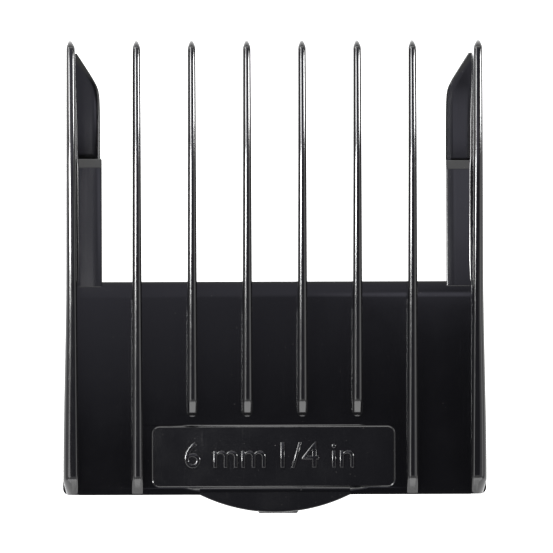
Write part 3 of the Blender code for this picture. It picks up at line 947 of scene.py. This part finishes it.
def gloss_plastic():
    """Moulded black plastic: gloss with a faint orange peel, fine scratches and a little dust."""
    material = bpy.data.materials.new("gloss_black_plastic")
    material.use_nodes = True
    nodes, links = material.node_tree.nodes, material.node_tree.links
    shader = nodes["Principled BSDF"]
    shader.inputs["Metallic"].default_value = 0.0
    shader.inputs["IOR"].default_value = PLASTIC_IOR
    coordinates = nodes.new("ShaderNodeTexCoord").outputs["Object"]

    cloud = noise(nodes, links, coordinates, HANDLING_MARKS, "handling marks")
    grain = noise(nodes, links, coordinates, FINE_GRAIN, "fine grain")
    peel = noise(nodes, links, coordinates, ORANGE_PEEL, "orange peel")
    dust = noise(nodes, links, coordinates, DUST_SPECKS, "dust specks")

    stretch = nodes.new("ShaderNodeMapping")
    stretch.inputs["Rotation"].default_value = (0.0, 0.0, math.radians(SCRATCH_ANGLE))
    stretch.inputs["Scale"].default_value = SCRATCH_STRETCH
    links.new(coordinates, stretch.inputs["Vector"])
    scratch = noise(nodes, links, stretch.outputs["Vector"], SCRATCH_NOISE, "hairline scratches")
    scratch_lines = to_range(nodes, links, scratch.outputs["Fac"], SCRATCH_LEVELS)

    roughness = nodes.new("ShaderNodeMath")
    roughness.operation = "ADD"
    marked = to_range(nodes, links, cloud.outputs["Fac"], MARK_ROUGHNESS)
    links.new(marked, roughness.inputs[0])
    grained = to_range(nodes, links, grain.outputs["Fac"], GRAIN_ROUGHNESS)
    links.new(grained, roughness.inputs[1])
    scratched = nodes.new("ShaderNodeMath")
    scratched.operation = "MULTIPLY_ADD"
    scratched.inputs[1].default_value = SCRATCH_ROUGHNESS
    links.new(scratch_lines, scratched.inputs[0])
    links.new(roughness.outputs[0], scratched.inputs[2])
    links.new(scratched.outputs[0], shader.inputs["Roughness"])

    colour = nodes.new("ShaderNodeMix")
    colour.data_type = "RGBA"
    colour.inputs["A"].default_value = BLACK
    colour.inputs["B"].default_value = DUST_COLOUR
    dusty = to_range(nodes, links, dust.outputs["Fac"], DUST_LEVELS)
    links.new(dusty, colour.inputs["Factor"])
    links.new(colour.outputs["Result"], shader.inputs["Base Color"])

    peel_bump = nodes.new("ShaderNodeBump")
    peel_bump.inputs["Strength"].default_value = PEEL_BUMP[0]
    peel_bump.inputs["Distance"].default_value = PEEL_BUMP[1]
    links.new(peel.outputs["Fac"], peel_bump.inputs["Height"])
    scratch_bump = nodes.new("ShaderNodeBump")
    scratch_bump.inputs["Strength"].default_value = SCRATCH_BUMP[0]
    scratch_bump.inputs["Distance"].default_value = SCRATCH_BUMP[1]
    scratch_bump.invert = True
    links.new(scratch_lines, scratch_bump.inputs["Height"])
    links.new(peel_bump.outputs["Normal"], scratch_bump.inputs["Normal"])
    links.new(scratch_bump.outputs["Normal"], shader.inputs["Normal"])
    return material


# ---- floor, light and camera --------------------------------------------------------------
def card(name, centre, aim, size, material):
    """Flat rectangle that faces a point."""
    shape = bmesh.new()
    bmesh.ops.create_grid(shape, x_segments=1, y_segments=1, size=0.5)
    mesh = bpy.data.meshes.new(name)
    shape.to_mesh(mesh)
    shape.free()
    mesh.materials.append(material)
    plane = bpy.data.objects.new(name, mesh)
    plane.scale = (size[0], size[1], 1.0)
    plane.location = centre
    plane.rotation_euler = (Vector(aim) - Vector(centre)).to_track_quat("Z", "Y").to_euler()
    bpy.context.scene.collection.objects.link(plane)
    return plane


def floor_material():
    """Pale floor that glows a little, as under a light tent, so that shadows on it stay faint."""
    material = bpy.data.materials.new("pale_floor")
    material.use_nodes = True
    shader = material.node_tree.nodes["Principled BSDF"]
    shader.inputs["Base Color"].default_value = FLOOR_GREY
    shader.inputs["Roughness"].default_value = 1.0
    shader.inputs["Specular IOR Level"].default_value = 0.0
    shader.inputs["Emission Color"].default_value = (1.0, 1.0, 1.0, 1.0)
    shader.inputs["Emission Strength"].default_value = FLOOR_GLOW
    return material


def ceiling_material():
    """Overhead diffuser: brighter to the upper left of the view, with a patch on its right."""
    material = bpy.data.materials.new("overhead_glow")
    material.use_nodes = True
    nodes, links = material.node_tree.nodes, material.node_tree.links
    nodes.remove(nodes["Principled BSDF"])
    glow = nodes.new("ShaderNodeEmission")
    glow.inputs["Color"].default_value = CEILING_COLOUR
    place_on_card = nodes.new("ShaderNodeSeparateXYZ")
    position = nodes.new("ShaderNodeNewGeometry").outputs["Position"]
    links.new(position, place_on_card.inputs[0])
    side_fall = multiply_add(nodes, links, place_on_card.outputs["X"], CEILING_SIDE_FALL)
    steepness = multiply_add(nodes, links, place_on_card.outputs["X"], CEILING_STEEPNESS)
    forward = multiply_add(nodes, links, place_on_card.outputs["Y"], CEILING_FORWARD)
    slope = nodes.new("ShaderNodeMath")
    slope.operation = "MULTIPLY_ADD"
    links.new(forward, slope.inputs[0])
    links.new(steepness, slope.inputs[1])
    links.new(side_fall, slope.inputs[2])
    held = nodes.new("ShaderNodeClamp")
    held.inputs["Min"].default_value = CEILING_RANGE[0]
    held.inputs["Max"].default_value = CEILING_RANGE[1]
    links.new(slope.outputs[0], held.inputs["Value"])
    patch = nodes.new("ShaderNodeVectorMath")
    patch.operation = "DISTANCE"
    patch.inputs[1].default_value = PATCH_CENTRE
    links.new(position, patch.inputs[0])
    total = nodes.new("ShaderNodeMath")
    total.operation = "ADD"
    links.new(held.outputs["Result"], total.inputs[0])
    added = to_range(nodes, links, patch.outputs["Value"], PATCH_LEVELS)
    links.new(added, total.inputs[1])
    links.new(total.outputs[0], glow.inputs["Strength"])
    links.new(glow.outputs["Emission"], nodes["Material Output"].inputs["Surface"])
    return material


def area_light(name, centre, aim, size, radiance):
    lamp = bpy.data.lights.new(name, "AREA")
    lamp.shape = "RECTANGLE"
    lamp.size, lamp.size_y = size
    lamp.energy = radiance * math.pi * size[0] * size[1]
    holder = bpy.data.objects.new(name, lamp)
    holder.location = centre
    holder.rotation_euler = (Vector(aim) - Vector(centre)).to_track_quat("-Z", "Y").to_euler()
    holder.visible_camera = False
    bpy.context.scene.collection.objects.link(holder)
    return holder


def flag_off(lamp, pieces):
    """Keep a light off some pieces, as a flag on a stand would."""
    flagged = bpy.data.collections.new(lamp.name + "_flagged")
    for piece in pieces:
        flagged.objects.link(piece)
    for entry in flagged.collection_objects:
        entry.light_linking.link_state = "EXCLUDE"
    lamp.light_linking.receiver_collection = flagged


def make_studio(plate):
    floor_size = (2 * FLOOR_HALF, 2 * FLOOR_HALF)
    card("floor", (0, 0, -FLOOR_DROP), (0, 0, 1), floor_size, floor_material())
    above = (0, 0, CEILING_HEIGHT)
    ceiling = card("overhead_card", above, (0, 0, -1), CEILING_SIZE, ceiling_material())
    ceiling.visible_camera = False
    ceiling.visible_shadow = False
    lamps = {}
    for name, centre, size, radiance in LIGHTS:
        lamps[name] = area_light(name, centre, LIGHT_AIM, size, radiance)
    for name in LIGHTS_OFF_PLATE:
        flag_off(lamps[name], [plate])
    world = bpy.data.worlds.new("studio")
    world.use_nodes = True
    world.node_tree.nodes["Background"].inputs["Color"].default_value = WORLD_GREY
    bpy.context.scene.world = world


def make_camera():
    data = bpy.data.cameras.new("camera")
    data.sensor_width = SENSOR
    data.lens = SENSOR * CAMERA_HEIGHT / VIEW_WIDTH
    data.clip_start, data.clip_end = CAMERA_CLIP
    camera = bpy.data.objects.new("camera", data)
    position = AIM + Vector((CAMERA_SIDE, 0.0, CAMERA_HEIGHT))
    forward = (AIM - position).normalized()
    upright = Vector((math.sin(CAMERA_ROLL), math.cos(CAMERA_ROLL), 0.0))
    right = forward.cross(upright).normalized()
    up = right.cross(forward)
    turned = Matrix((right, up, -forward)).transposed()
    camera.matrix_world = Matrix.Translation(position) @ turned.to_4x4()
    bpy.context.scene.collection.objects.link(camera)
    bpy.context.scene.camera = camera


def main():
    plastic = gloss_plastic()
    plate = make_plate(plastic)
    make_label(plastic)
    make_teeth(plastic)
    for side_name, side in (("left", -1), ("right", 1)):
        make_ledge(side_name, side, plastic)
        make_ear(side_name, side, plastic)
        make_side_wall(side_name, side, plastic)
        make_rear_wall(side_name, side, plastic)
    make_tab(plastic)
    make_tongue(plastic)
    make_hook(plastic)
    make_lip(plastic)
    make_studio(plate)
    make_camera()
    bpy.context.scene.view_settings.view_transform = "Standard"


main()
